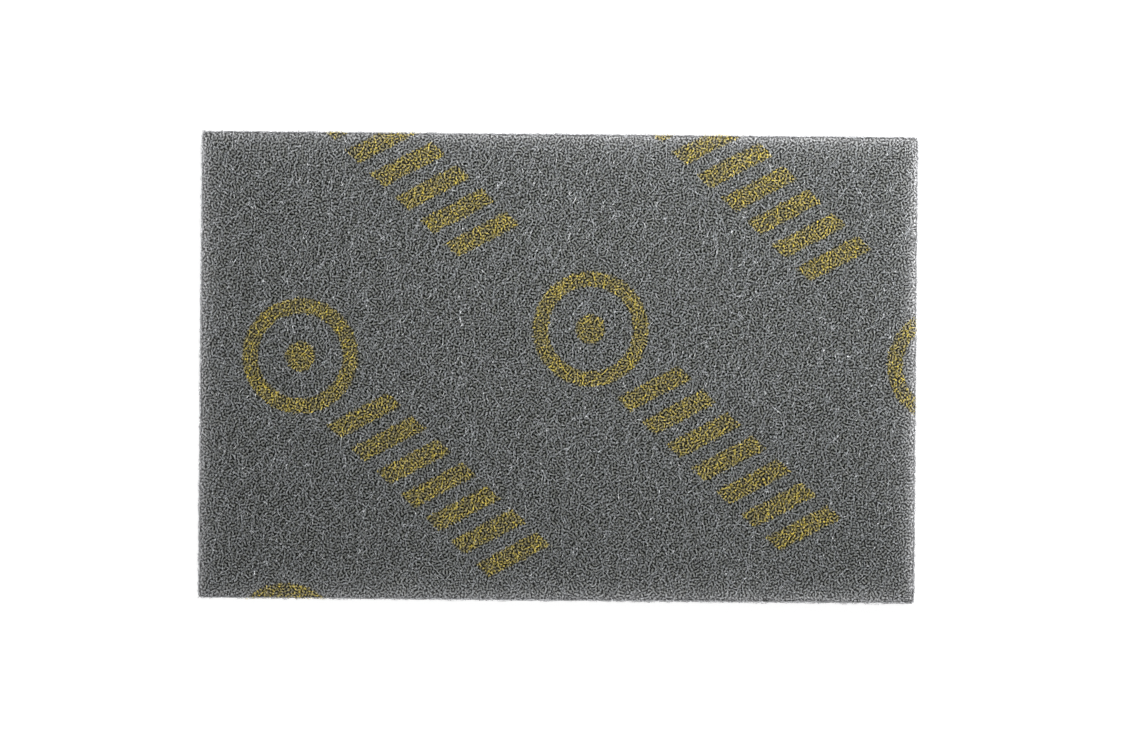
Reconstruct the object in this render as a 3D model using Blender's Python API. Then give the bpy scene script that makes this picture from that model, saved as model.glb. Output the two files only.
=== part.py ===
# An abrasive hand pad: one die-cut slab of lofty nonwoven nylon web, lying flat.
# Metres, +Z up. The origin is the centre of the face that it rests on, +X runs along
# its length and +Y along its width.

import bmesh
import bpy
from mathutils import Vector, noise

# The cut pad
PAD_LENGTH = 0.230
PAD_WIDTH = 0.150
PAD_THICKNESS = 0.008
RIM_RADIUS = 0.0009

# The web's skin is level at its highest fibres and sinks into hollows between them
SKIN_PITCH = 0.0043
HOLLOW_DEPTH = 0.0011
HOLLOW_SPACING = 0.0075
CLOUD_SPACING = 0.026
CLOUD_SHARE = 0.45
LEVEL_SHARE = 0.04
WALL_ROWS = 3
SKIN_DRIFT = 0.3

# Where in the noise the web is cut from, which sets the pattern of its hollows
WEB_PLACE = Vector((3.7, 11.2, 5.9))
DRIFT_PLACE = Vector((40.3, 7.1, 23.8))

RIM_SEGMENTS = 2
FLAT_NORMAL = 0.999
WEB_COLOUR = (0.125, 0.129, 0.124, 1.0)
WEB_ROUGHNESS = 0.85


def clear_scene():
    for thing in list(bpy.data.objects):
        bpy.data.objects.remove(thing)


def web_material():
    material = bpy.data.materials.new("grey_web")
    material.use_nodes = True
    shader = material.node_tree.nodes["Principled BSDF"]
    shader.inputs["Base Color"].default_value = WEB_COLOUR
    shader.inputs["Roughness"].default_value = WEB_ROUGHNESS
    shader.inputs["Metallic"].default_value = 0.0
    return material


def cut_slab():
    """The die-cut block with its rims and corners softened, standing on z = 0."""
    slab = bmesh.new()
    bmesh.ops.create_cube(slab, size=1.0)
    bmesh.ops.scale(slab, vec=(PAD_LENGTH, PAD_WIDTH, PAD_THICKNESS), verts=slab.verts)
    bmesh.ops.translate(slab, vec=(0.0, 0.0, PAD_THICKNESS / 2), verts=slab.verts)
    bmesh.ops.bevel(
        slab,
        geom=slab.edges[:],
        offset=RIM_RADIUS,
        offset_type="OFFSET",
        segments=RIM_SEGMENTS,
        profile=0.5,
        affect="EDGES",
    )
    return slab


def slice_evenly(slab, axis, low, high, count):
    """Cuts the slab's faces into that many strips between two edges on an axis."""
    normal = Vector((0.0, 0.0, 0.0))
    normal[axis] = 1.0
    for cut in range(1, count):
        plane = normal * (low + (high - low) * cut / count)
        whole = slab.verts[:] + slab.edges[:] + slab.faces[:]
        bmesh.ops.bisect_plane(slab, geom=whole, plane_co=plane, plane_no=normal)


def divide_skin(slab):
    """Gives the two faces and the cut walls enough points to hold the web's hollows."""
    half_length = PAD_LENGTH / 2 - RIM_RADIUS
    half_width = PAD_WIDTH / 2 - RIM_RADIUS
    slice_evenly(slab, 0, -half_length, half_length, round(2 * half_length / SKIN_PITCH))
    slice_evenly(slab, 1, -half_width, half_width, round(2 * half_width / SKIN_PITCH))
    slice_evenly(slab, 2, RIM_RADIUS, PAD_THICKNESS - RIM_RADIUS, WALL_ROWS)


def hollow_depth(place):
    """How far the skin lies under its highest fibres at a place on the slab's surface."""
    small = noise.noise(place / HOLLOW_SPACING + WEB_PLACE)
    cloud = noise.noise(place / CLOUD_SPACING - WEB_PLACE)
    height = small * (1.0 - CLOUD_SHARE) + cloud * CLOUD_SHARE
    return HOLLOW_DEPTH * max(0.0, height - LEVEL_SHARE) / (1.0 - LEVEL_SHARE)


def drift(place):
    """A sideways shift that keeps the skin's points out of straight rows."""
    step = noise.noise_vector(place / SKIN_PITCH + DRIFT_PLACE)
    return Vector((step.x, step.y, 0.0)) * SKIN_PITCH * SKIN_DRIFT


def settle_skin(slab):
    """Moves every point of the slab inwards by the depth of the hollow that it is in."""
    slab.normal_update()
    moved = []
    for point in slab.verts:
        normal = point.normal.copy()
        place = point.co.copy()
        if abs(normal.z) > FLAT_NORMAL:
            place += drift(place)
        moved.append(place - normal * hollow_depth(place))
    for point, place in zip(slab.verts, moved):
        point.co = place
    slab.normal_update()


def hand_pad(collection):
    slab = cut_slab()
    divide_skin(slab)
    settle_skin(slab)
    mesh = bpy.data.meshes.new("hand_pad")
    slab.to_mesh(mesh)
    slab.free()
    mesh.shade_smooth()
    mesh.materials.append(web_material())
    pad = bpy.data.objects.new("hand_pad", mesh)
    collection.objects.link(pad)
    return pad


def main():
    clear_scene()
    collection = bpy.data.collections.new("abrasive_hand_pad")
    bpy.context.scene.collection.children.link(collection)
    hand_pad(collection)


main()
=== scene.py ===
import math

import bmesh
import bpy
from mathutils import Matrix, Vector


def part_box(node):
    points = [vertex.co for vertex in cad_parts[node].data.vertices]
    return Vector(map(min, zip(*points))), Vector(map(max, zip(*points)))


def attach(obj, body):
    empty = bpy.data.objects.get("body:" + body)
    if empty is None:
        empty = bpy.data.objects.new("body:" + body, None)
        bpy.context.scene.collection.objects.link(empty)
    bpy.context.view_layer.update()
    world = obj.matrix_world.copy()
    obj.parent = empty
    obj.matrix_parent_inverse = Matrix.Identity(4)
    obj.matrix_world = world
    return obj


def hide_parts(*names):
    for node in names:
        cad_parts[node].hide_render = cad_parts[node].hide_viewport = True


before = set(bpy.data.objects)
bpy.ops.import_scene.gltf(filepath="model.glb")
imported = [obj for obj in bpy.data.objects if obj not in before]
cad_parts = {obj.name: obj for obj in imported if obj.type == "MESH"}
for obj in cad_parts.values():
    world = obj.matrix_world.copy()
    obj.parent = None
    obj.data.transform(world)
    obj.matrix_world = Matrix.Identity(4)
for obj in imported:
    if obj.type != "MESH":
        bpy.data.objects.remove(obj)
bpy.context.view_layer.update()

low_corner, high_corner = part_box("hand_pad")
PAD_LENGTH = high_corner[0] - low_corner[0]
PAD_WIDTH = high_corner[1] - low_corner[1]
PAD_TOP = high_corner[2]
PAD_BASE = low_corner[2]
CUT_PAD = bpy.data.objects["hand_pad"]

# The photograph's frame and where the pad lies in it
PHOTO_WIDTH = 1134
PHOTO_HEIGHT = 756
PAD_CENTRE_PX = (558.0, 367.25)
PIXELS_PER_METRE = 3121.0
PAD_TURN = math.radians(0.5)
LENS = 0.085
SENSOR = 0.036
MILLIMETRES = 1000

# The print in its places: a ring with a dot, then a row of slanted bars, set aslant
PRINT_PLACES = (
    (-0.0827, 0.0029),
    (0.0103, 0.0123),
    (0.1240, 0.0015),
    (-0.0934, 0.1057),
    (0.0194, 0.0988),
    (-0.0866, -0.0885),
)
PRINT_TURN = math.radians(-42.6)
RING_OUTER = 0.0185
RING_INNER = 0.0136
DOT_RADIUS = 0.0048
BAR_WIDTH = 0.0062
BAR_HEIGHT = 0.0210
BAR_PITCH = 0.0109
BAR_COUNT = 7
BARS_START = 0.0225
BAR_SLANT = 0.35
INK_ROUGHNESS = 0.0016
INK_GRAIN = 1300.0

# How far the ink soaks in, and the least and the most of it that a fibre holds
INK_REACH = 0.0008
INK_END = 0.0013
HOLD_GRAIN = 1700.0
HOLD_LOW = 0.34
HOLD_HIGH = 0.50
INK_LEAST = 0.46
INK_MOST = 0.96
CORE_INK_SHARE = 0.5

# Painted light that lightens the web near the cut edges, leaning towards the key lamp: how far
# in each glow reaches, and its strength
RIM_GLOWS = ((0.0007, 0.60), (0.0021, 0.44), (0.0070, 0.10))
END_GLOW = 0.9
END_GLOW_REACH = 0.0008
WALL_GLOW = 0.7
RIM_LIGHT_LEAN_X = 1.8
RIM_LIGHT_LEAN_Y = 0.6
CORE_TOP_GLOW = 0.8
CORE_WALL_GLOW = 0.4

# The fine painted strokes, which stand for fibres too thin to model
STROKE_REACH = 0.0014
STROKE_PERIOD = 0.00099
STROKE_GAIN = 4.7
STROKE_LEVEL = 0.37

# Grit, painted glints, and how strokes and grit add up on fibres that lie deep or on top, with
# painted light on those on top
GRIT_GRAIN = 2600.0
GRIT_DETAIL = 2.0
GLINT_GRAIN = 1100.0
GLINT_LOW = 0.70
GLINT_HIGH = 0.75
TOP_DEPTH = 0.0001
TOP_END = 0.0005
TOP_SHARE = 0.7
DEEP_STROKES = 0.85
DEEP_GRIT = 0.9
DEEP_LEVEL = -0.45
TOP_SHADE = 0.22
TOP_GRIT = 1.6
TOP_LEVEL = -0.26
INK_GAIN = 1.6
INK_LEVEL = -0.32
# Painted shade on fibres that lie deeper in the web: where it starts, where it is full, and how
# much
DEPTH_SHADE_START = 0.0002
DEPTH_SHADE_FULL = 0.0014
DEPTH_SHADE_SHARE = 0.5
CORE_GRIT = 2.0
CORE_STROKES = 0.25
CORE_LEVEL = -0.12
FLAT_NORMAL = 0.7

# Darkest and lightest colours, as sRGB levels
FIBRE_TONES = ((10, 10, 8), (186, 190, 193))
# Lighter tones of the painted light near the cut edges
RIM_LIGHT_TONES = ((142, 142, 143), (238, 238, 241))
INK_TONES = ((24, 23, 16), (252, 227, 84))
# Painted shade: the core's tones, its painted rim light and its print are darker than the
# fibres', as the shade deep in the web
SHADED_CORE_TONES = ((5, 5, 4), (102, 104, 101))
# Lighter tones of the painted light near the cut edges, on the core
CORE_RIM_LIGHT_TONES = ((96, 96, 96), (214, 214, 216))
SHADED_CORE_INK_TONES = ((6, 6, 6), (120, 110, 62))
# Painted glints
GLINT_TONE = (250, 252, 255)
# Painted shade on fibres that lie deep
DEPTH_SHADE_TONE = (12, 12, 11)

FIBRE_ROUGHNESS = 0.5
FIBRE_SPECULAR = 0.2
CORE_ROUGHNESS = 0.9
CORE_SPECULAR = 0.05

# How every fibre is made
FIBRE_POINTS = 11
FIBRE_STEP = 0.0011
FIBRE_RUN = (FIBRE_POINTS - 1) * FIBRE_STEP
FIBRE_SIDES = 3
FIBRES_PER_ROW = 8
STRIP_SPREAD = 0.33
CELL_ACROSS = (0.25, 0.75)
CELL_UP = (0.15, 0.85)
SWELL_GRAIN = 420.0
SWELL = 1.1
SWELL_LEAST = 0.45
WAVE_LENGTH = 0.0024
WAVE_GAIN = 2.4
WAVE_SHARE = 0.65

# Where each fibre reads the noise that bends it, so that no two bend alike
FIBRE_LANE = 3.7
SEED_LANE = 11.3
WAVE_LANE = 3.3
CRIMP_LANE = 7.7

# Added before a number is rounded down, so that a whole one doesn't drop by one
WHOLE_GUARD = 0.001
ROW_GUARD = 0.00001

# Which of its random numbers a fibre uses for what, counted from its layer's seed
UP_DRAW = 1
SLANT_DRAW = 2
FRAY_DRAW = 3
LEVEL_DRAW = 4
SHADE_DRAW = 5

# Fibres in the faces
SWAY_LENGTH = 0.0034
SWAY = 0.0042
SLANT = 0.45
FRAY = 0.0003
RUN_OVERLAP = 0.92
RIM_INSET = 0.0004
RAY_REACH = 0.03

# Layers of fibres in the faces: name, side (1 for the upper face and -1 for the under one),
# turn in degrees, pitch, least and most depth, fibre radius, seed
FACE_LAYERS = (
    ("face_web_outer", 1, 62, 0.00112, 0.00005, 0.0005, 0.000070, 10),
    ("face_web_middle", 1, -58, 0.00112, 0.0001, 0.0008, 0.000070, 30),
    ("face_web_inner", 1, 4, 0.00112, 0.0002, 0.0011, 0.000075, 50),
    ("back_web_outer", -1, -38, 0.00260, 0.00005, 0.0008, 0.000110, 110),
    ("back_web_inner", -1, 70, 0.00112, 0.0001, 0.0012, 0.000110, 70),
)

# Fibres in the cut walls
CURL_LENGTH = 0.0085
CURL_SWING = 7.0
CRIMP_LENGTH = 0.0026
CRIMP_SWING = 2.6
WALL_HEADING = 0.9
WALL_LEAN = 0.25
WALL_LIFT = 2.5
WALL_MARGIN = 0.00025
WALL_COLUMNS = 270
WALL_ROWS = 8
WALL_DEEP = 0.0007
WALL_FIBRE_RADIUS = 0.000085
WALL_SEED = 90
CORNER_RADIUS = 0.0009
CORNER_POINTS = 4

# The middle of the web
CORE_DEPTH = 0.0007
CORE_INSET = 0.0005
CORE_MERGE = 0.000002

# The studio
WHITE = (1.0, 1.0, 1.0, 1.0)
KEY_PLACE = (0.17, 0.31, 0.36)
KEY_SIZE = 0.22
KEY_POWER = 5.2
FILL_PLACE = (-1.1, -0.5, 0.9)
FILL_SIZE = 1.2
FILL_POWER = 5.0
SKY_LIGHT = 0.35
FLOOR_HALF = 3.0
FLOOR_DROP = 0.0002
FLOOR_COLOUR = (0.3, 0.3, 0.3, 1.0)
FLOOR_GLOW = 0.89


class Value:
    """A socket in a node tree, so that maths on values is written as it is read."""

    def __init__(self, tree, socket):
        self.tree = tree
        self.socket = socket

    def __add__(self, other):
        return self.tree.maths("ADD", self, other)

    def __radd__(self, other):
        return self.tree.maths("ADD", other, self)

    def __sub__(self, other):
        return self.tree.maths("SUBTRACT", self, other)

    def __rsub__(self, other):
        return self.tree.maths("SUBTRACT", other, self)

    def __mul__(self, other):
        return self.tree.maths("MULTIPLY", self, other)

    def __rmul__(self, other):
        return self.tree.maths("MULTIPLY", other, self)

    def __truediv__(self, other):
        return self.tree.maths("DIVIDE", self, other)

    def __rtruediv__(self, other):
        return self.tree.maths("DIVIDE", other, self)

    def __mod__(self, other):
        return self.tree.maths("FLOORED_MODULO", self, other)

    def __rmod__(self, other):
        return self.tree.maths("FLOORED_MODULO", other, self)

    def __lt__(self, other):
        return self.tree.maths("LESS_THAN", self, other)

    def __gt__(self, other):
        return self.tree.maths("GREATER_THAN", self, other)

    def __abs__(self):
        return self.tree.maths("ABSOLUTE", self)

    def floor(self):
        return self.tree.maths("FLOOR", self)

    def at_least(self, other):
        return self.tree.maths("MAXIMUM", self, other)

    def at_most(self, other):
        return self.tree.maths("MINIMUM", self, other)

    def between(self, low, high):
        return self.at_least(low).at_most(high)


class Tree:
    """A node tree whose nodes all come from one method."""

    def __init__(self, nodes):
        self.source = nodes
        self.nodes = nodes.nodes
        self.links = nodes.links

    def node(self, kind, settings, sockets):
        """Makes a node from its type, its settings and what its sockets hold or are fed."""
        made = self.nodes.new(kind)
        for name, setting in settings.items():
            setattr(made, name, setting)
        for key, value in sockets.items():
            if isinstance(value, Value):
                self.links.new(value.socket, made.inputs[key])
            else:
                made.inputs[key].default_value = value
        return made

    def value(self, kind, settings, sockets, output=0):
        return Value(self, self.node(kind, settings, sockets).outputs[output])

    def maths(self, operation, *values):
        return self.value("ShaderNodeMath", {"operation": operation}, dict(enumerate(values)))

    def vector_maths(self, operation, *values):
        settings = {"operation": operation}
        return self.value("ShaderNodeVectorMath", settings, dict(enumerate(values)))

    def vector(self, x, y, z):
        return self.value("ShaderNodeCombineXYZ", {}, {0: x, 1: y, 2: z})

    def dot(self, first, second):
        settings = {"operation": "DOT_PRODUCT"}
        return self.value("ShaderNodeVectorMath", settings, {0: first, 1: second}, "Value")

    def length(self, vector):
        return self.value("ShaderNodeVectorMath", {"operation": "LENGTH"}, {0: vector}, "Value")

    def scaled(self, vector, size):
        sockets = {0: vector, "Scale": size}
        return self.value("ShaderNodeVectorMath", {"operation": "SCALE"}, sockets)

    def axes(self, vector):
        parted = self.node("ShaderNodeSeparateXYZ", {}, {0: vector})
        return [Value(self, parted.outputs[axis]) for axis in range(3)]

    def noise(self, place, scale, detail=0.0, output=0):
        sockets = {"Vector": place, "Scale": scale, "Detail": detail}
        return self.value("ShaderNodeTexNoise", {}, sockets, output)

    def smooth(self, value, low, high):
        """Goes from 0 to 1 as the value goes from low to high, with soft ends."""
        settings = {"interpolation_type": "SMOOTHSTEP"}
        sockets = {"Value": value, "From Min": low, "From Max": high}
        return self.value("ShaderNodeMapRange", settings, sockets)

    def mix(self, share, first, second):
        """A colour between two colours."""
        sockets = {0: share, 6: first, 7: second}
        return self.value("ShaderNodeMix", {"data_type": "RGBA"}, sockets, 2)


def geometry_tree(name, inputs):
    """An empty geometry tree with named inputs, each of a socket type, and one output."""
    nodes = bpy.data.node_groups.new(name, "GeometryNodeTree")
    nodes.interface.new_socket("Geometry", in_out="OUTPUT", socket_type="NodeSocketGeometry")
    for title, kind in inputs.items():
        nodes.interface.new_socket(title, in_out="INPUT", socket_type=kind)
    tree = Tree(nodes)
    entry = tree.node("NodeGroupInput", {}, {})
    return tree, {title: Value(tree, entry.outputs[title]) for title in inputs}


def grown(name, tree, values):
    """Runs a geometry tree with its inputs set, and keeps the result as a plain mesh."""
    piece = bpy.data.objects.new(name, bpy.data.meshes.new(name))
    bpy.context.scene.collection.objects.link(piece)
    modifier = piece.modifiers.new(name, "NODES")
    modifier.node_group = tree.source
    for socket in tree.source.interface.items_tree:
        if socket.name in values:
            modifier[socket.identifier] = values[socket.name]
    depsgraph = bpy.context.evaluated_depsgraph_get()
    whole = piece.evaluated_get(depsgraph)
    mesh = bpy.data.meshes.new_from_object(
        whole, preserve_all_data_layers=True, depsgraph=depsgraph
    )
    piece.modifiers.remove(modifier)
    piece.data = mesh
    return piece


def linear(level):
    """The linear value of an sRGB level out of 255."""
    share = level / 255
    if share <= 0.04045:
        return share / 12.92
    return ((share + 0.055) / 1.055) ** 2.4


def colour(red, green, blue):
    return (linear(red), linear(green), linear(blue), 1.0)


# Materials


def material_tree(name):
    material = bpy.data.materials.new(name)
    material.use_nodes = True
    material.node_tree.nodes.clear()
    return material, Tree(material.node_tree)


def close_material(tree, shader):
    tree.node("ShaderNodeOutputMaterial", {}, {"Surface": shader})


def object_place(tree):
    return tree.value("ShaderNodeTexCoord", {}, {}, "Object")


def attribute(tree, name):
    return tree.value("ShaderNodeAttribute", {"attribute_name": name}, {}, "Fac")


def between_tones(tree, share, tones):
    """A colour that goes from the darkest to the lightest of two tones."""
    return tree.mix(share, colour(*tones[0]), colour(*tones[1]))


def web_shader(tree, tone, roughness, specular):
    sockets = {"Base Color": tone, "Roughness": roughness, "Specular IOR Level": specular}
    return tree.value("ShaderNodeBsdfPrincipled", {}, sockets)


def print_mask(tree, place):
    """1 on the yellow print, whose edges are as rough as the fibres that hold the ink."""
    rough = tree.vector_maths("SUBTRACT", tree.noise(place, INK_GRAIN, 0.0, 1), (0.5, 0.5, 0.5))
    place = tree.vector_maths("ADD", place, tree.scaled(rough, INK_ROUGHNESS))
    x, y = tree.axes(place)[:2]
    cosine = math.cos(PRINT_TURN)
    sine = math.sin(PRINT_TURN)
    inked = 0.0
    for centre_x, centre_y in PRINT_PLACES:
        off_x = x - centre_x
        off_y = y - centre_y
        along = off_x * cosine + off_y * sine
        up = off_y * cosine - off_x * sine
        radius = tree.length(tree.vector(along, up, 0.0))
        ring = (radius < RING_OUTER) * (radius > RING_INNER)
        disc = ring.at_least(radius < DOT_RADIUS)
        lean = along - BARS_START - up * BAR_SLANT
        bar = abs(lean % BAR_PITCH - BAR_PITCH / 2) < BAR_WIDTH / 2
        in_row = (lean > 0.0) * (lean < BAR_PITCH * BAR_COUNT)
        bars = bar * in_row * (abs(up) < BAR_HEIGHT / 2)
        inked = disc.at_least(bars).at_least(inked)
    return inked


def painted_rim_light(tree, place):
    """How much painted light lightens the web near its cut edges, most at the far right corner.
    """
    x, y = tree.axes(place)[:2]
    from_side = PAD_LENGTH / 2 - abs(x)
    from_end = PAD_WIDTH / 2 - abs(y)
    inwards = from_side.at_most(from_end).at_least(0.0)
    glow = 0.0
    for reach, strength in RIM_GLOWS:
        glow = tree.maths("POWER", math.e, inwards / -reach) * strength + glow
    at_ends = tree.maths("POWER", math.e, from_side / -END_GLOW_REACH)
    glow = at_ends * END_GLOW + glow
    # The painted light leans towards the key lamp's side, the right and the top
    return (glow * (x * RIM_LIGHT_LEAN_X + y * RIM_LIGHT_LEAN_Y + 1.0)).between(0.0, 1.0)


def strokes(tree, across, up):
    """1 on fine short strokes that lie in all directions, falling to 0 in the gaps."""
    sockets = {
        "Vector": tree.vector(across, up, 0.0),
        "Scale": 1.0 / STROKE_REACH,
        "Frequency": STROKE_REACH / STROKE_PERIOD,
        "Anisotropy": 0.0,
    }
    wave = tree.value("ShaderNodeTexGabor", {"gabor_type": "2D"}, sockets, "Value")
    return ((wave - 0.5) * STROKE_GAIN + STROKE_LEVEL).between(0.0, 1.0)


def fibre_material(name, printed, upright):
    """Strokes and grit where fibres lie deep, and grit, the fibre's own shade and painted light
    on top.
    """
    material, tree = material_tree(name)
    place = object_place(tree)
    x, y, z = tree.axes(place)
    drawn = strokes(tree, x + y, z) if upright else strokes(tree, x, y)
    shade = attribute(tree, "fibre_shade")
    depth = attribute(tree, "fibre_depth")
    grit = tree.noise(place, GRIT_GRAIN, GRIT_DETAIL)
    # Painted light: fibres on top come out lighter than those that lie deep
    on_top = tree.smooth(depth, TOP_END, TOP_DEPTH)
    deep = drawn * DEEP_STROKES + grit * DEEP_GRIT + DEEP_LEVEL
    top = shade * TOP_SHADE + grit * TOP_GRIT + TOP_LEVEL
    light = (deep + (top - deep) * on_top * TOP_SHARE).between(0.0, 1.0)
    # Painted glints on fibres that lie on top
    glint = tree.smooth(tree.noise(place, GLINT_GRAIN), GLINT_LOW, GLINT_HIGH) * on_top
    tone = tree.mix(glint, between_tones(tree, light, FIBRE_TONES), colour(*GLINT_TONE))
    # Painted light near the cut edges, weaker on the walls
    rim_light = painted_rim_light(tree, place) * (WALL_GLOW if upright else 1.0)
    tone = tree.mix(rim_light, tone, between_tones(tree, light, RIM_LIGHT_TONES))
    if printed:
        inked = (light * INK_GAIN + INK_LEVEL).between(0.0, 1.0)
        held = tree.smooth(tree.noise(place, HOLD_GRAIN), HOLD_LOW, HOLD_HIGH)
        held = held * (INK_MOST - INK_LEAST) + INK_LEAST
        wet = print_mask(tree, place) * tree.smooth(depth, INK_END, INK_REACH)
        tone = tree.mix(wet * held, tone, between_tones(tree, inked, INK_TONES))
    # Painted shade on fibres that lie deep in the web
    depth_shade = tree.smooth(depth, DEPTH_SHADE_START, DEPTH_SHADE_FULL)
    tone = tree.mix(depth_shade * DEPTH_SHADE_SHARE, tone, colour(*DEPTH_SHADE_TONE))
    close_material(tree, web_shader(tree, tone, FIBRE_ROUGHNESS, FIBRE_SPECULAR))
    return material


def core_material():
    """Painted strokes and painted shade, for the middle of the web that shows between the real
    fibres.
    """
    material, tree = material_tree("web_core")
    place = object_place(tree)
    x, y, z = tree.axes(place)
    facing = tree.axes(tree.value("ShaderNodeTexCoord", {}, {}, "Normal"))[2]
    flat = abs(facing) > FLAT_NORMAL
    drawn = strokes(tree, x + y * (1.0 - flat), y * flat + z * (1.0 - flat))
    grit = tree.noise(place, GRIT_GRAIN, GRIT_DETAIL)
    light = (drawn * (grit * CORE_GRIT + CORE_STROKES) + CORE_LEVEL).between(0.0, 1.0)
    # Painted shade: the core is darker than the fibres, and so is its print below
    tone = between_tones(tree, light, SHADED_CORE_TONES)
    # Painted light near the cut edges, stronger on the faces than on the walls
    glow = flat * (CORE_TOP_GLOW - CORE_WALL_GLOW) + CORE_WALL_GLOW
    rim_light = painted_rim_light(tree, place) * glow
    tone = tree.mix(rim_light, tone, between_tones(tree, light, CORE_RIM_LIGHT_TONES))
    printed = print_mask(tree, place) * (z > (PAD_TOP + PAD_BASE) / 2)
    ink = between_tones(tree, light, SHADED_CORE_INK_TONES)
    tone = tree.mix(printed * CORE_INK_SHARE, tone, ink)
    close_material(tree, web_shader(tree, tone, CORE_ROUGHNESS, CORE_SPECULAR))
    return material


# Pieces

WEB_INPUTS = {
    "Columns": "NodeSocketInt",
    "Rows": "NodeSocketInt",
    "Shallow": "NodeSocketFloat",
    "Deep": "NodeSocketFloat",
    "Fibre Radius": "NodeSocketFloat",
    "Turn": "NodeSocketFloat",
    "Pitch": "NodeSocketFloat",
    "Seed": "NodeSocketInt",
    "Side": "NodeSocketFloat",
    "Cut Pad": "NodeSocketObject",
}


def random_value(tree, number, seed, low, high):
    sockets = {2: low, 3: high, "ID": number, "Seed": seed}
    return tree.value("FunctionNodeRandomValue", {"data_type": "FLOAT"}, sockets, 1)


def kept(tree, points, name, kind, value):
    settings = {"data_type": kind, "domain": "POINT"}
    sockets = {"Geometry": points, "Name": name, "Value": value}
    return tree.value("GeometryNodeStoreNamedAttribute", settings, sockets)


def named(tree, name, kind="FLOAT"):
    sockets = {"Name": name}
    return tree.value("GeometryNodeInputNamedAttribute", {"data_type": kind}, sockets)


def moved_to(tree, points, place):
    sockets = {"Geometry": points, "Position": place}
    return tree.value("GeometryNodeSetPosition", {}, sockets)


def numbered_points(tree, given):
    """A row of points for every fibre, with each one's fibre number and place in the row."""
    count = given["Columns"] * given["Rows"]
    points = tree.value("GeometryNodePoints", {}, {"Count": count * FIBRE_POINTS})
    index = tree.value("GeometryNodeInputIndex", {}, {})
    fibre = (index / FIBRE_POINTS + WHOLE_GUARD).floor()
    return points, fibre, index - fibre * FIBRE_POINTS


def bake_place(tree, points, given, fibre, step):
    """Keeps where each fibre lies on the piece's map: side by side in rows of strips."""
    rows = tree.maths("CEIL", given["Columns"] * given["Rows"] / FIBRES_PER_ROW)
    row = (fibre / FIBRES_PER_ROW + WHOLE_GUARD).floor()
    in_row = fibre - row * FIBRES_PER_ROW
    across = (in_row * FIBRE_POINTS + step + 0.5) / (FIBRES_PER_ROW * FIBRE_POINTS)
    points = kept(tree, points, "strip_across", "FLOAT", across)
    points = kept(tree, points, "strip_up", "FLOAT", (row + 0.5) / rows)
    return kept(tree, points, "strip_height", "FLOAT", 1.0 / rows)


def grid_place(tree, given, fibre, width, height):
    """A place for each fibre in its own cell of a grid, so that the web is even."""
    row = (fibre / given["Columns"] + ROW_GUARD).floor()
    column = fibre - row * given["Columns"]
    seed = given["Seed"]
    x = (column + random_value(tree, fibre, seed, *CELL_ACROSS)) / given["Columns"] - 0.5
    y = (row + random_value(tree, fibre, seed + UP_DRAW, *CELL_UP)) / given["Rows"] - 0.5
    return x * width, y * height


def fibre_lane(fibre, seed):
    """A number that is each fibre's own, for the noise that bends it."""
    return fibre * FIBRE_LANE + seed * SEED_LANE


def crimped_heading(tree, lane, along, heading):
    """The direction of a fibre, which curls slowly and crimps quickly along its length."""
    curl = tree.noise(tree.vector(lane, along / CURL_LENGTH, 0.0), 1.0)
    crimp = tree.noise(tree.vector(lane, along / CRIMP_LENGTH, CRIMP_LANE), 1.0)
    return heading + (curl - 0.5) * CURL_SWING + (crimp - 0.5) * CRIMP_SWING


def walked(tree, fibre, heading, x, y, lean):
    """The path that starts at a place and follows the heading, a step at a time."""
    stride = tree.vector(
        tree.maths("COSINE", heading) * FIBRE_STEP * (1.0 + lean),
        tree.maths("SINE", heading) * FIBRE_STEP * (1.0 - lean),
        0.0,
    )
    settings = {"data_type": "FLOAT_VECTOR", "domain": "POINT"}
    sockets = {"Value": stride, "Group ID": fibre}
    path = tree.value("GeometryNodeAccumulateField", settings, sockets, "Trailing")
    return tree.vector_maths("ADD", path, tree.vector(x, y, 0.0))


def wave_depth(tree, given, fibre, lane, along):
    """How deep a fibre lies, as it passes over and under the others."""
    wave = tree.noise(tree.vector(lane, along / WAVE_LENGTH, WAVE_LANE), 1.0)
    wave = ((wave - 0.5) * WAVE_GAIN + 0.5).between(0.0, 1.0)
    level = random_value(tree, fibre, given["Seed"] + LEVEL_DRAW, 0.0, 1.0)
    share = wave * WAVE_SHARE + level * (1.0 - WAVE_SHARE)
    return given["Shallow"] + (given["Deep"] - given["Shallow"]) * share


def kept_looks(tree, points, given, fibre, depth):
    """Keeps what the materials read: how deep a fibre lies at each point, and its shade."""
    points = kept(tree, points, "fibre_depth", "FLOAT", depth)
    shade = random_value(tree, fibre, given["Seed"] + SHADE_DRAW, 0.0, 1.0)
    return kept(tree, points, "fibre_shade", "FLOAT", shade)


def laid_flat(tree, mesh):
    """Gives each tube its own strip of the piece's map, and drops the values for it."""
    index = tree.value("GeometryNodeInputIndex", {}, {})
    side = (index % FIBRE_SIDES - 1) * STRIP_SPREAD
    up = side * named(tree, "strip_height") + named(tree, "strip_up")
    flat = tree.vector(named(tree, "strip_across"), up, 0.0)
    settings = {"data_type": "FLOAT_VECTOR", "domain": "POINT"}
    flat = tree.value("GeometryNodeFieldOnDomain", settings, {"Value": flat})
    settings = {"data_type": "FLOAT2", "domain": "CORNER"}
    sockets = {"Geometry": mesh, "Name": "OFBake", "Value": flat}
    mesh = tree.value("GeometryNodeStoreNamedAttribute", settings, sockets)
    for name in ("strip_across", "strip_up", "strip_height", "outside", "run", "drop"):
        mesh = tree.value("GeometryNodeRemoveAttribute", {}, {0: mesh, "Name": name})
    return mesh


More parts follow.
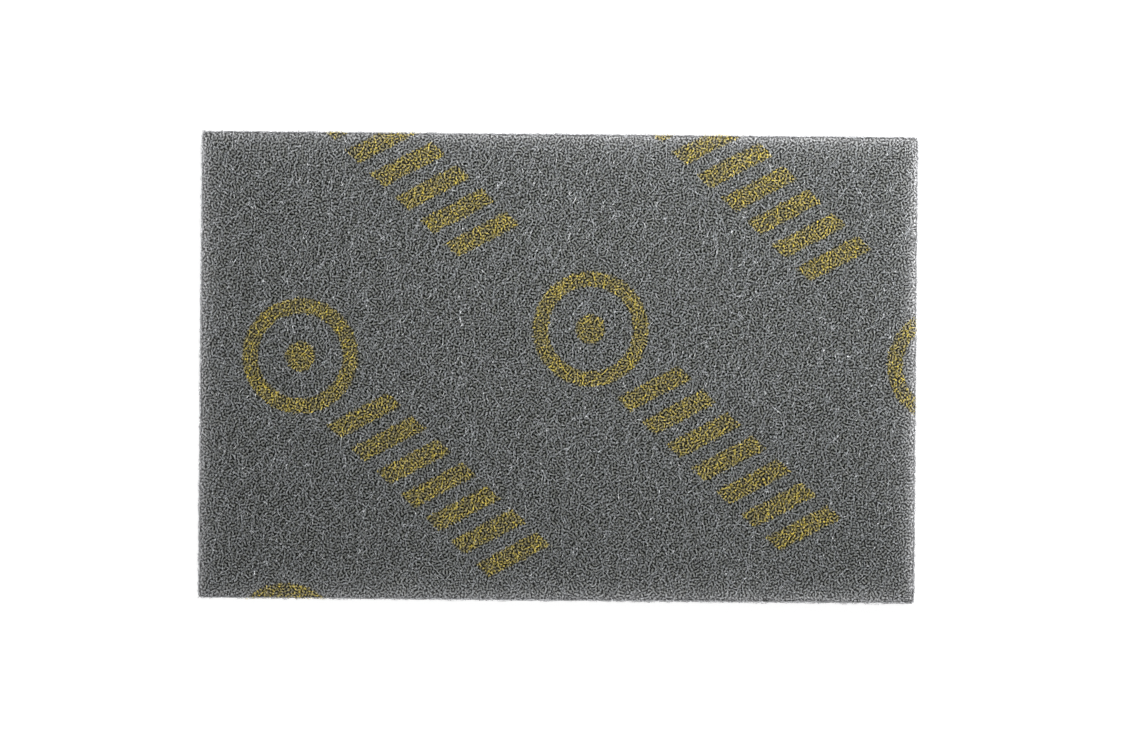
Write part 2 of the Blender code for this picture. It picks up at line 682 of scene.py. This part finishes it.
def tubes(tree, given, points, material):
    """Closed tubes along the runs of points, ready to leave the tree."""
    sockets = {0: points, 1: named(tree, "run", "INT")}
    curves = tree.value("GeometryNodePointsToCurves", {}, sockets)
    size = tree.value("GeometryNodeSplineLength", {}, {}, "Point Count")
    settings = {"domain": "CURVE"}
    curves = tree.value("GeometryNodeDeleteGeometry", settings, {0: curves, 1: size < 1.5})
    place = tree.value("GeometryNodeInputPosition", {}, {})
    swell = tree.noise(place, SWELL_GRAIN)
    radius = given["Fibre Radius"] * (swell * SWELL + SWELL_LEAST)
    sockets = {"Resolution": FIBRE_SIDES, "Radius": 1.0}
    ring = tree.value("GeometryNodeCurvePrimitiveCircle", {}, sockets)
    sockets = {"Curve": curves, "Profile Curve": ring, "Scale": radius, "Fill Caps": True}
    mesh = laid_flat(tree, tree.value("GeometryNodeCurveToMesh", {}, sockets))
    mesh = tree.value("GeometryNodeSetShadeSmooth", {}, {0: mesh, "Shade Smooth": True})
    mesh = tree.value("GeometryNodeRealizeInstances", {}, {0: mesh})
    mesh = tree.value("GeometryNodeSetMaterial", {}, {0: mesh, "Material": material})
    tree.node("NodeGroupOutput", {}, {0: mesh})


def skin_height(tree, given, x, y, side):
    """The height of the cut pad's face straight above or below a place."""
    body = tree.value("GeometryNodeObjectInfo", {}, {"Object": given["Cut Pad"]}, "Geometry")
    over_x = x.between(RIM_INSET - PAD_LENGTH / 2, PAD_LENGTH / 2 - RIM_INSET)
    over_y = y.between(RIM_INSET - PAD_WIDTH / 2, PAD_WIDTH / 2 - RIM_INSET)
    sockets = {
        "Target Geometry": body,
        "Source Position": tree.vector(over_x, over_y, side * RAY_REACH),
        "Ray Direction": tree.vector(0.0, 0.0, side * -1.0),
        "Ray Length": 2 * RAY_REACH,
    }
    hit = tree.value("GeometryNodeRaycast", {}, sockets, "Hit Position")
    return tree.axes(hit)[2]


def cut_at_outline(tree, points, step, fray):
    """Parts each fibre into the runs within the die's outline, with their ends on it."""
    x, y = tree.axes(tree.value("GeometryNodeInputPosition", {}, {}))[:2]
    reach_x = fray + PAD_LENGTH / 2
    reach_y = fray + PAD_WIDTH / 2
    beyond = (abs(x) > reach_x).at_least(abs(y) > reach_y)
    points = kept(tree, points, "outside", "FLOAT", beyond)
    index = tree.value("GeometryNodeInputIndex", {}, {})
    out = named(tree, "outside")
    at = {"data_type": "FLOAT", "domain": "POINT"}
    before = tree.value("GeometryNodeFieldAtIndex", at, {"Value": out, "Index": index - 1})
    after = tree.value("GeometryNodeFieldAtIndex", at, {"Value": out, "Index": index + 1})
    first = step < 0.5
    last = step > FIBRE_POINTS - 1.5
    fresh = first.at_least(out * before)
    settings = {"data_type": "INT", "domain": "POINT"}
    run = tree.value("GeometryNodeAccumulateField", settings, {"Value": fresh}, "Leading")
    points = kept(tree, points, "run", "INT", run)
    drop = out * before.at_least(first) * after.at_least(last)
    points = kept(tree, points, "drop", "FLOAT", drop)
    return points, x.between(reach_x * -1, reach_x), y.between(reach_y * -1, reach_y)


def swaying_line(tree, given, fibre, lane, along):
    """Where a fibre of a face runs: along its layer's turn, at its own slant, and swaying."""
    length = given["Columns"] * (FIBRE_RUN * RUN_OVERLAP)
    start, beside = grid_place(tree, given, fibre, length, given["Rows"] * given["Pitch"])
    slant = random_value(tree, fibre, given["Seed"] + SLANT_DRAW, -SLANT, SLANT)
    sway = tree.noise(tree.vector(lane, along / SWAY_LENGTH, 0.0), 1.0, 0.0, 1)
    sway_on, sway_aside = tree.axes(sway)[:2]
    forth = start + along + (sway_on - 0.5) * SWAY
    aside = beside + (along - FIBRE_RUN / 2) * slant + (sway_aside - 0.5) * SWAY
    cosine = tree.maths("COSINE", given["Turn"])
    sine = tree.maths("SINE", given["Turn"])
    return tree.vector(forth * cosine - aside * sine, forth * sine + aside * cosine, 0.0)


def face_web_tree(name, material):
    """Crimped fibres that lie in a layer under one face of the cut pad."""
    tree, given = geometry_tree(name, WEB_INPUTS)
    points, fibre, step = numbered_points(tree, given)
    points = bake_place(tree, points, given, fibre, step)
    lane = fibre_lane(fibre, given["Seed"])
    along = step * FIBRE_STEP
    points = moved_to(tree, points, swaying_line(tree, given, fibre, lane, along))
    fray = random_value(tree, fibre, given["Seed"] + FRAY_DRAW, -FRAY, FRAY)
    points, cut_x, cut_y = cut_at_outline(tree, points, step, fray)
    side = given["Side"]
    depth = wave_depth(tree, given, fibre, lane, along)
    skin = skin_height(tree, given, cut_x, cut_y, side)
    points = kept_looks(tree, points, given, fibre, depth)
    points = moved_to(tree, points, tree.vector(cut_x, cut_y, skin - side * depth))
    settings = {"domain": "POINT"}
    sockets = {0: points, 1: named(tree, "drop") > 0.5}
    points = tree.value("GeometryNodeDeleteGeometry", settings, sockets)
    tubes(tree, given, points, material)
    return tree


def at_wall(tree, around, height, depth):
    """A place at a depth under the cut wall, from how far round the pad it is and how high."""
    shape = {"Width": PAD_LENGTH, "Height": PAD_WIDTH}
    outline = tree.value("GeometryNodeCurvePrimitiveQuadrilateral", {}, shape)
    outline = tree.value(
        "GeometryNodeFilletCurve",
        {"mode": "POLY"},
        {"Curve": outline, "Count": CORNER_POINTS, "Radius": CORNER_RADIUS},
    )
    sockets = {"Curves": outline, "Factor": around % 1.0}
    settings = {"mode": "FACTOR", "use_all_curves": True}
    spot = tree.node("GeometryNodeSampleCurve", settings, sockets)
    place = Value(tree, spot.outputs["Position"])
    tangent = Value(tree, spot.outputs["Tangent"])
    outward = tree.vector_maths("CROSS_PRODUCT", tangent, (0.0, 0.0, 1.0))
    facing = tree.dot(outward, place)
    outward = tree.scaled(outward, tree.maths("SIGN", facing))
    inside = tree.vector_maths("SUBTRACT", place, tree.scaled(outward, depth))
    return tree.vector_maths("ADD", inside, tree.vector(0.0, 0.0, height))


def wall_web_tree(name, material):
    """Crimped fibres that lie in a layer under the cut walls, mostly along them."""
    tree, given = geometry_tree(name, WEB_INPUTS)
    points, fibre, step = numbered_points(tree, given)
    points = bake_place(tree, points, given, fibre, step)
    perimeter = 2 * (PAD_LENGTH + PAD_WIDTH)
    height = PAD_TOP - PAD_BASE
    u, v = grid_place(tree, given, fibre, perimeter, height)
    seed = given["Seed"]
    lane = fibre_lane(fibre, seed)
    along = step * FIBRE_STEP
    slant = random_value(tree, fibre, seed + SLANT_DRAW, -WALL_HEADING, WALL_HEADING)
    heading = crimped_heading(tree, lane, along, slant)
    path = walked(tree, fibre, heading, u, v, WALL_LEAN)
    u, v = tree.axes(path)[:2]
    reach = height - 2 * WALL_MARGIN
    level = tree.maths("PINGPONG", v + height * WALL_LIFT, reach) + PAD_BASE + WALL_MARGIN
    depth = wave_depth(tree, given, fibre, lane, along)
    place = at_wall(tree, u / perimeter, level, depth)
    points = moved_to(tree, points, place)
    points = kept_looks(tree, points, given, fibre, depth)
    points = kept(tree, points, "run", "INT", fibre)
    tubes(tree, given, points, material)
    return tree


def grow_web(name, tree, values):
    piece = grown(name, tree, values)
    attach(piece, "root")


def grow_face_web(tree, name, side, turn, pitch, shallow, deep, radius, seed):
    """One layer of fibres whose common direction is turned from the pad's length."""
    turn = math.radians(turn)
    reach = abs(PAD_LENGTH * math.cos(turn)) + abs(PAD_WIDTH * math.sin(turn))
    spread = abs(PAD_LENGTH * math.sin(turn)) + abs(PAD_WIDTH * math.cos(turn))
    values = {
        "Columns": math.ceil((reach + FIBRE_RUN) / (FIBRE_RUN * RUN_OVERLAP)),
        "Rows": math.ceil((spread + FIBRE_RUN) / pitch),
        "Turn": turn,
        "Pitch": pitch,
        "Shallow": shallow,
        "Deep": deep,
        "Fibre Radius": radius,
        "Side": float(side),
        "Seed": seed,
        "Cut Pad": CUT_PAD,
    }
    grow_web(name, tree, values)


def grow_wall_web(tree):
    values = {
        "Columns": WALL_COLUMNS,
        "Rows": WALL_ROWS,
        "Deep": WALL_DEEP,
        "Fibre Radius": WALL_FIBRE_RADIUS,
        "Seed": WALL_SEED,
    }
    grow_web("cut_wall_web", tree, values)


def web_core():
    """The middle of the web, painted dark as shade, which shows between the outer fibres."""
    mesh = CUT_PAD.data.copy()
    form = bmesh.new()
    form.from_mesh(mesh)
    bmesh.ops.remove_doubles(form, verts=form.verts, dist=CORE_MERGE)
    middle = (PAD_TOP + PAD_BASE) / 2
    squeeze = 1 - 2 * CORE_DEPTH / (PAD_TOP - PAD_BASE)
    for point in form.verts:
        point.co.x *= 1 - 2 * CORE_INSET / PAD_LENGTH
        point.co.y *= 1 - 2 * CORE_INSET / PAD_WIDTH
        point.co.z = middle + (point.co.z - middle) * squeeze
    form.to_mesh(mesh)
    form.free()
    mesh.materials.clear()
    mesh.materials.append(core_material())
    core = bpy.data.objects.new("web_core", mesh)
    bpy.context.scene.collection.objects.link(core)
    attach(core, "root")
    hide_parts("hand_pad")


# Studio


def camera():
    data = bpy.data.cameras.new("camera")
    data.lens = LENS * MILLIMETRES
    data.sensor_width = SENSOR * MILLIMETRES
    held = bpy.data.objects.new("camera", data)
    bpy.context.scene.collection.objects.link(held)
    view_width = PHOTO_WIDTH / PIXELS_PER_METRE
    x = (PHOTO_WIDTH / 2 - PAD_CENTRE_PX[0]) / PIXELS_PER_METRE
    y = (PAD_CENTRE_PX[1] - PHOTO_HEIGHT / 2) / PIXELS_PER_METRE
    held.location = (x, y, PAD_TOP + view_width * LENS / SENSOR)
    held.rotation_euler = (0.0, 0.0, PAD_TURN)
    bpy.context.scene.camera = held


def lamp(name, place, size, power):
    data = bpy.data.lights.new(name, "AREA")
    data.shape = "SQUARE"
    data.size = size
    data.energy = power
    held = bpy.data.objects.new(name, data)
    bpy.context.scene.collection.objects.link(held)
    held.location = place
    aim = -held.location
    held.rotation_euler = aim.to_track_quat("-Z", "Y").to_euler()
    held.visible_camera = False


def seen_by_eye(tree):
    """1 for what the camera sees straight on, in gloss or through glass."""
    path = tree.node("ShaderNodeLightPath", {}, {})
    seen = Value(tree, path.outputs["Is Camera Ray"])
    seen = seen.at_least(Value(tree, path.outputs["Is Glossy Ray"]))
    return seen.at_least(Value(tree, path.outputs["Is Transmission Ray"]))


def lights():
    lamp("key", KEY_PLACE, KEY_SIZE, KEY_POWER)
    lamp("fill", FILL_PLACE, FILL_SIZE, FILL_POWER)
    world = bpy.data.worlds.new("studio")
    bpy.context.scene.world = world
    world.use_nodes = True
    world.node_tree.nodes.clear()
    tree = Tree(world.node_tree)
    strength = seen_by_eye(tree) * (1.0 - SKY_LIGHT) + SKY_LIGHT
    sockets = {"Color": WHITE, "Strength": strength}
    background = tree.value("ShaderNodeBackground", {}, sockets)
    tree.node("ShaderNodeOutputWorld", {}, {"Surface": background})


def floor():
    mesh = bpy.data.meshes.new("floor")
    form = bmesh.new()
    bmesh.ops.create_grid(form, x_segments=1, y_segments=1, size=FLOOR_HALF)
    bmesh.ops.translate(form, vec=(0.0, 0.0, PAD_BASE - FLOOR_DROP), verts=form.verts)
    form.to_mesh(mesh)
    form.free()
    ground = bpy.data.objects.new("floor", mesh)
    bpy.context.scene.collection.objects.link(ground)
    material, tree = material_tree("white_floor")
    matt = tree.value("ShaderNodeBsdfDiffuse", {}, {"Color": FLOOR_COLOUR})
    glow = tree.value("ShaderNodeEmission", {}, {"Strength": seen_by_eye(tree) * FLOOR_GLOW})
    both = tree.value("ShaderNodeAddShader", {}, {0: matt, 1: glow})
    close_material(tree, both)
    mesh.materials.append(material)


camera()
lights()
floor()
web_core()
printed_fibre = fibre_material("printed_fibre", True, False)
plain_fibre = fibre_material("plain_fibre", False, False)
wall_fibre = fibre_material("wall_fibre", False, True)
upper_tree = face_web_tree("printed_face_web", printed_fibre)
under_tree = face_web_tree("plain_face_web", plain_fibre)
wall_tree = wall_web_tree("cut_wall_web", wall_fibre)
for layer in FACE_LAYERS:
    grow_face_web(upper_tree if layer[1] > 0 else under_tree, *layer)
grow_wall_web(wall_tree)

bpy.context.scene.view_settings.view_transform = "Standard"
